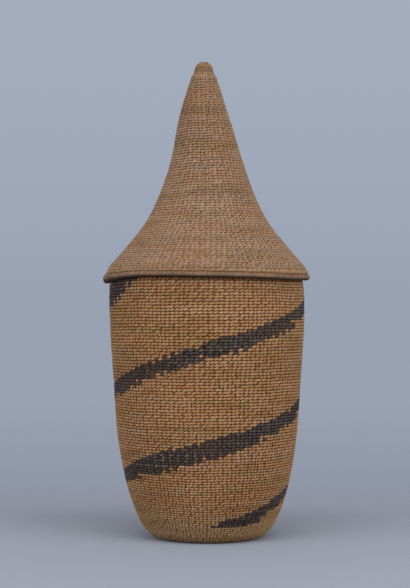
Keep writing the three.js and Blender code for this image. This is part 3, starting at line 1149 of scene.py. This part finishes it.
def makeTipWeft():
    turn = np.linspace(0, tip["crown"], tip["outlineSteps"])
    radius = tip["radius"] * np.cos(turn) ** tip["fullness"]
    height = lid["rimHeight"] + tip["headFoot"] + (tip["headTop"] - tip["headFoot"]) * np.sin(turn)
    skin = skinAlong(radius, height, tip["shadeAndSoil"], lidLean, overrun=tip["overrun"])
    finishPiece(wholePiece("tip_weft", twine(skin, tip)), "lid", lidWeft, "lid_tip_knot")


tipCore = {
    "inset": 0.75 * mm,
    "segments": 48,
    "rings": 22,
    "plug": ((0.98, 0.35 * mm), (0.98, 0.5 * mm), (1, 9 * mm)),  # each step's size and drop
    "buttonRadius": 2.9 * mm,
    "buttonSegments": 24,
    "buttonRings": 12,
    "buttonLift": 0.35,  # of the inset
    "buttonFlat": 0.2,
    "near": 0.01 * mm,
    "shadeAndSoil": 0.35,
}


def makeTipCore():
    centre = Vector((-lid["leanWidth"], 0, lid["rimHeight"] + tip["headFoot"]))
    radius = tip["radius"] - tipCore["inset"]
    tall = tip["headTop"] - tip["headFoot"] - tipCore["inset"]
    near = tipCore["near"]
    core = added("tip_core", bpy.ops.mesh.primitive_uv_sphere_add, (radius, radius, tall), radius=1,
                 segments=tipCore["segments"], ring_count=tipCore["rings"], location=centre)
    cutAt([centre], (0, 0, 1), clear_inner=True, threshold=near)
    for elements in (core.data.polygons, core.data.edges):
        elements.foreach_set("select", np.zeros(len(elements), bool))
    core.data.vertices.foreach_set("select", coordinates(core.data)[:, 2] < centre.z + near)
    editMode(True)
    bpy.ops.mesh.select_mode(type="VERT")
    bpy.ops.mesh.select_mode(type="EDGE")
    height = 0
    for size, drop in tipCore["plug"]:
        height -= drop
        extrudeBy((0, 0, -drop), (size, size, 1), centre + Vector((0, 0, height)))
    bpy.ops.mesh.edge_face_add()
    editMode(False)
    faceOutward()
    lift = Vector((0, 0, tall + tipCore["inset"] * tipCore["buttonLift"]))
    button = added("tip_button", bpy.ops.mesh.primitive_uv_sphere_add, (1, 1, tipCore["buttonFlat"]),
                   segments=tipCore["buttonSegments"], ring_count=tipCore["buttonRings"],
                   radius=tipCore["buttonRadius"], location=centre + lift)
    joinAll([core, button])
    setPointValues(core.data, "shadeAndSoil", np.full(len(core.data.vertices), tipCore["shadeAndSoil"]))
    finishPiece(core, "lid", knotFibre, "lid_tip_knot")


# Ends of the stakes: one cone with a rib for each, standing out between the cord and the first row
tipStakes = {
    "count": 30,
    "foot": 118.4 * mm,
    "footRadius": 7.85 * mm,
    "topWiden": 1.05,
    "topGap": 0.5 * mm,
    "cuts": (0.25, 0.5, 0.75),
    "valley": 0.07,
    "belly": 0.035,
    "shadeAndSoil": 0.85,
}


def makeStakeEnds():
    foot = Vector((-lid["leanWidth"], 0, lid["rimHeight"] + tipStakes["foot"]))
    tall = tip["headFoot"] - tipStakes["topGap"] - tipStakes["foot"]
    sides = 4 * tipStakes["count"]
    piece = added("tip_stakes", bpy.ops.mesh.primitive_cone_add, vertices=sides, depth=tall,
                  radius1=tipStakes["footRadius"], radius2=tip["radius"] * tipStakes["topWiden"],
                  end_fill_type="NGON", location=foot + Vector((0, 0, tall / 2)))
    cutAt([foot + Vector((0, 0, tall * share)) for share in tipStakes["cuts"]], (0, 0, 1))
    co = coordinates(piece.data)
    angle = np.arctan2(co[:, 1], co[:, 0] - foot.x)
    valley = np.round(angle / fullTurn * sides).astype(int) % 4 == 0
    up = (co[:, 2] - foot.z) / tall
    shrink = 1 - tipStakes["valley"] * valley + tipStakes["belly"] * np.sin(math.pi * up)
    co[:, 0] = foot.x + (co[:, 0] - foot.x) * shrink
    co[:, 1] *= shrink
    setCoordinates(piece.data, co)
    # painted shade in the valleys between the stakes' ends
    setPointValues(piece.data, "shadeAndSoil", tipStakes["shadeAndSoil"] * valley)
    finishPiece(piece, "lid", knotFibre, "lid_tip_knot")


# Lashing: a cord section swept up round the tip's waist by the Screw modifier
lashing = {
    "radius": 0.4 * mm,
    "out": 0.05 * mm,
    "drop": 0.75 * mm,
    "sides": 10,
    "steps": 48,
    "turns": 1,
}


def addScrew(piece, axis, rise, turns, steps):
    screw = piece.modifiers.new("turns", "SCREW")
    screw.axis = axis
    screw.angle = fullTurn
    screw.screw_offset = rise
    screw.iterations = turns
    screw.steps = screw.render_steps = steps
    screw.use_merge_vertices = False
    applyAll(piece)


def makeLashing():
    piece = addCircle("tip_lashing", lashing["sides"], lashing["radius"],
                      place=(tip["radius"] + lashing["out"], 0, 0), turn=(math.pi / 2, 0, 0))
    addScrew(piece, "Z", lashing["radius"], lashing["turns"], lashing["steps"])
    editMode(True)
    bpy.ops.mesh.select_all(action="DESELECT")
    bpy.ops.mesh.select_non_manifold()
    bpy.ops.mesh.fill_holes(sides=0)
    editMode(False)
    faceOutward()
    height = lid["rimHeight"] + tip["headFoot"] - lashing["drop"]
    setCoordinates(piece.data, coordinates(piece.data) + (-lid["leanWidth"], 0, height))
    finishPiece(piece, "lid", knotFibre, "lid_tip_lashing")


makeTipCore()
makeTipWeft()
makeStakeEnds()
makeLashing()
print("tip made")


# Knot of crossed stakes that the floor starts from
crossing = {
    "radius": 4.7 * mm,
    "rods": 6,
    "rodRadius": 0.62 * mm,
    "rodSides": 8,
    "rodSteps": 16,
    "height": 3.0 * mm,
    "weave": 0.55 * mm,
}


def makeCrossing():
    count, steps = crossing["rods"], crossing["rodSteps"]
    spacing = 2 * crossing["radius"] / count
    rods = []
    for direction in (0, 1):
        for i in range(count):
            side = (i - (count - 1) / 2) * spacing
            half = math.sqrt(crossing["radius"] ** 2 - side ** 2)
            rod = added("floor_knot", bpy.ops.mesh.primitive_cylinder_add, vertices=crossing["rodSides"],
                        radius=crossing["rodRadius"], depth=2 * half, rotation=(0, math.pi / 2, 0))
            cutAt([(-half + 2 * half * k / steps, 0, 0) for k in range(1, steps)], (1, 0, 0))
            co = coordinates(rod.data)
            wave = np.cos(math.pi * (co[:, 0] / spacing + 0.5 * (count + 1)))
            co[:, 2] += crossing["weave"] * wave * (-1) ** (i + direction) + crossing["height"]
            co[:, 1] += side
            if direction:
                co = np.stack([-co[:, 1], co[:, 0], co[:, 2]], -1)
            setCoordinates(rod.data, co)
            rods.append(rod)
    finishPiece(joinAll(rods), "basket", knotFibre, "base_start")


makeCrossing()


# Heavy three-strand cord at the foot, where the stakes turn up. The basket stands on it.
footCord = {
    "radius": 27.9 * mm,
    "strands": 3,
    "strandRadius": 0.8 * mm,
    "strandSides": 8,
    "twistRadius": 0.72 * mm,
    "twists": 34,
    "twistSteps": 12,
    "weld": 0.02 * mm,
}


def makeFootCord():
    length = fullTurn * footCord["radius"]
    parts = []
    for strand in range(footCord["strands"]):
        part = addCircle("foot_cord", footCord["strandSides"], footCord["strandRadius"],
                         place=(0, footCord["twistRadius"], 0))
        part.rotation_euler = (fullTurn * strand / footCord["strands"], 0, 0)
        bpy.ops.object.transform_apply()
        addScrew(part, "X", length / footCord["twists"], footCord["twists"], footCord["twistSteps"])
        parts.append(part)
    piece = joinAll(parts)
    co = coordinates(piece.data)
    turn = (co[:, 0] - co[:, 0].min()) / footCord["radius"]
    lift = footCord["strandRadius"] + footCord["twistRadius"]
    setCoordinates(piece.data, roundAxis(footCord["radius"] - co[:, 1], turn, co[:, 2] + lift))
    faceOutward(footCord["weld"])
    finishPiece(piece, "basket", knotFibre, "base_turn_row")
    print("foot cord made")


makeFootCord()


# Floor that it stands on, pale, fading into the backdrop's colour
studio = {
    "floorRadius": 0.9,
    "floorSides": 96,
    "floorColour": paint(148, 153, 165),
    "fadeFrom": 0.14,
    "fadeTo": 0.32,
    "worldLight": 0.5,
    "worldTint": paint(238, 240, 246),
    # camera sees these by the slope of the view, from steep down to up; the darker band a little below level
    # is painted shadow behind the basket
    "backdrop": [
        (-0.164, (158, 165, 179)), (-0.144, (155, 162, 176)), (-0.131, (146, 153, 167)),
        (-0.115, (142, 149, 165)), (-0.084, (149, 157, 172)), (-0.059, (154, 162, 177)),
        (0.005, (153, 162, 178)), (0.098, (161, 170, 187)), (0.188, (164, 173, 188)),
    ],
}


def makeStudio():
    ground = addCircle("ground", studio["floorSides"], studio["floorRadius"], turn=(0, 0, 0), fill="NGON")
    finish = Finish("ground", 0.9)
    finish.feed(finish.shader.inputs["Base Color"], studio["floorColour"])
    length = finish.add("ShaderNodeVectorMath", {0: finish.place()}, operation="LENGTH").outputs["Value"]
    clear = finish.add("ShaderNodeBsdfTransparent").outputs[0]
    fade = finish.span(length, studio["fadeFrom"], studio["fadeTo"], 0, 1)
    finish.show("Material Output", fade, finish.shader.outputs[0], clear)
    ground.data.materials.append(finish.material)

    world = bpy.data.worlds.new("studio")
    bpy.context.scene.world = world
    sky = Nodes(world)
    light = sky.nodes["Background"]
    sky.feed(light.inputs["Color"], studio["worldTint"])
    sky.feed(light.inputs["Strength"], studio["worldLight"])
    low, high = studio["backdrop"][0][0], studio["backdrop"][-1][0]
    slope = sky.axis(sky.add("ShaderNodeTexCoord").outputs["Generated"], "Z")
    stops = [((stop - low) / (high - low), paint(*colour)) for stop, colour in studio["backdrop"]]
    seen = sky.add("ShaderNodeBackground", {"Color": sky.ramp(sky.span(slope, low, high, 0, 1), *stops)})
    rays = sky.add("ShaderNodeLightPath").outputs
    direct = sky.either(sky.either(rays["Is Camera Ray"], rays["Is Glossy Ray"]), rays["Is Transmission Ray"])
    sky.show("World Output", direct, light.outputs[0], seen.outputs[0])


lampAim = (0, 0, 0.14)
lamps = {  # place, size, power and tint
    "key": ((0.05, -0.95, 1.4), 1, 8.6, (1, 0.975, 0.925)),
    "front": ((0, -1.4, 0.45), 0.8, 0.8, (1, 0.98, 0.95)),
    "right": ((1.2, -1, 0.75), 1.2, 18.4, (0.97, 0.985, 1)),
    "left": ((-1.2, -1, 0.75), 1.2, 16, (0.97, 0.985, 1)),
}


def makeLamps():
    for name, (place, size, power, tint) in lamps.items():
        bpy.ops.object.light_add(type="AREA", location=place)
        light = bpy.context.object
        light.name = name
        light.rotation_euler = aimedAt(lampAim, place)
        light.data.size = size
        light.data.energy = power
        light.data.color = tint


makeStudio()
makeLamps()
bpy.context.scene.view_settings.view_transform = "Standard"
print("studio lit")
